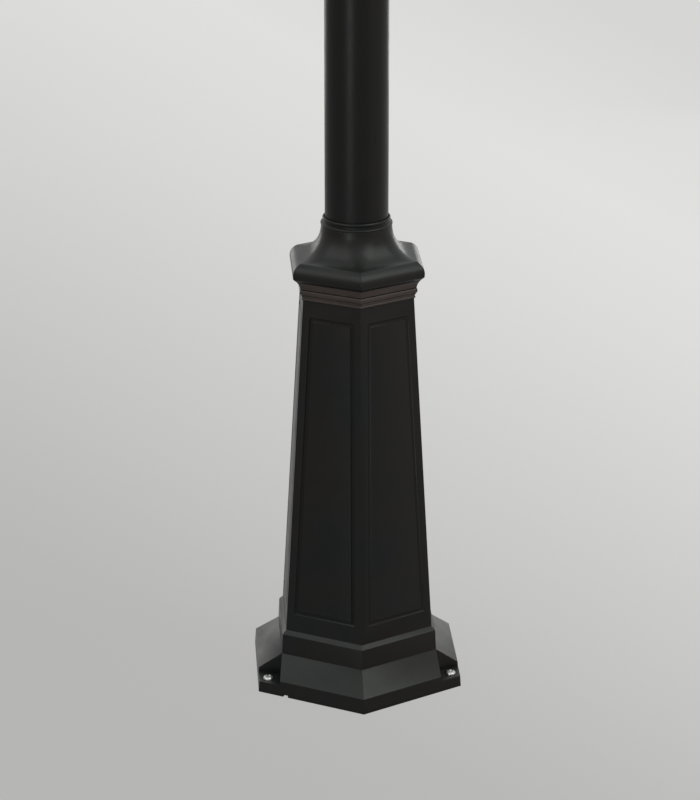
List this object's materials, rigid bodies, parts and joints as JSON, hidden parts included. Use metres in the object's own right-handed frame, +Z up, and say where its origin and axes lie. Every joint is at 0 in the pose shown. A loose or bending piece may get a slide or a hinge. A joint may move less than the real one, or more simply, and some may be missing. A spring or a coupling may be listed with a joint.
{
  "type": "triple head lamp post",
  "caption": "Lamp post with a panelled hexagonal pedestal and bell cap, a round pole, and a cluster of hexagonal lanterns on bracketed arms, each with a hinged roof",
  "frame": {"origin": "Centre of the ring of anchor holes, on the pole's axis, at the level of the ground under the pedestal's foot", "axes": "+Z points up along the pole, the longest extent. A corner of the hexagonal pedestal with an anchor hole 60 degrees to either side faces -Y. +X is the normal of one flat; the arms point to -30, 90 and 210 degrees from +X in the XY plane."},
  "size_m": [0.62, 0.5467, 2.2321],
  "materials": {
    "iron_casting": "satin",
    "coated_casting": "satin",
    "coated_steel": "satin",
    "brass_screw": "satin",
    "grey_plastic": "matte",
    "white_plastic": "matte",
    "holder_ceramic": "gloss",
    "lamp_glass": "matte",
    "clear_glass": "gloss"
  },
  "bodies": {
    "post": {"pedestal_casting": "iron_casting", "pedestal_cap": "coated_casting", "lower_pole": "coated_steel", "junction_box": "grey_plastic", "junction_box_lid": "grey_plastic", "terminal_block": "white_plastic", "cable_gland": "white_plastic", "pole_collar": "coated_casting", "upper_pole": "coated_steel", "arm_hub": "coated_casting", "hub_finial": "coated_casting", "brace_collar": "coated_steel", "lamp_holders": "holder_ceramic", "lamps": "lamp_glass", "lantern_arm_1": "coated_steel", "lantern_frame_1": "coated_casting", "lantern_panes_1": "clear_glass", "lantern_arm_2": "coated_steel", "lantern_frame_2": "coated_casting", "lantern_panes_2": "clear_glass", "lantern_arm_3": "coated_steel", "lantern_frame_3": "coated_casting", "lantern_panes_3": "clear_glass"},
    "lid_1": {"lantern_lid_1": "coated_casting"},
    "screw_1": {"lid_screw_1": "brass_screw"},
    "lid_2": {"lantern_lid_2": "coated_casting"},
    "screw_2": {"lid_screw_2": "brass_screw"},
    "lid_3": {"lantern_lid_3": "coated_casting"},
    "screw_3": {"lid_screw_3": "brass_screw"}
  },
  "joints": [
    {"name": "lid_1_hinge", "type": "hinge", "parent": "post", "child": "lid_1", "pos_m": [0.28683, -0.1656, 2.0501], "axis": [0.5, 0.866, 0], "range_deg": [0, 100]},
    {"name": "screw_1_turn", "type": "hinge", "parent": "lid_1", "child": "screw_1", "pos_m": [0.11735, -0.06775, 2.0458], "axis": [0.866, -0.5, 0], "continuous": true},
    {"name": "lid_2_hinge", "type": "hinge", "parent": "post", "child": "lid_2", "pos_m": [0, 0.3312, 2.0501], "axis": [-1, 0, 0], "range_deg": [0, 100]},
    {"name": "screw_2_turn", "type": "hinge", "parent": "lid_2", "child": "screw_2", "pos_m": [0, 0.1355, 2.0458], "axis": [0, 1, 0], "continuous": true},
    {"name": "lid_3_hinge", "type": "hinge", "parent": "post", "child": "lid_3", "pos_m": [-0.28683, -0.1656, 2.0501], "axis": [0.5, -0.866, 0], "range_deg": [0, 100]},
    {"name": "screw_3_turn", "type": "hinge", "parent": "lid_3", "child": "screw_3", "pos_m": [-0.11735, -0.06775, 2.0458], "axis": [-0.866, -0.5, 0], "continuous": true}
  ]
}
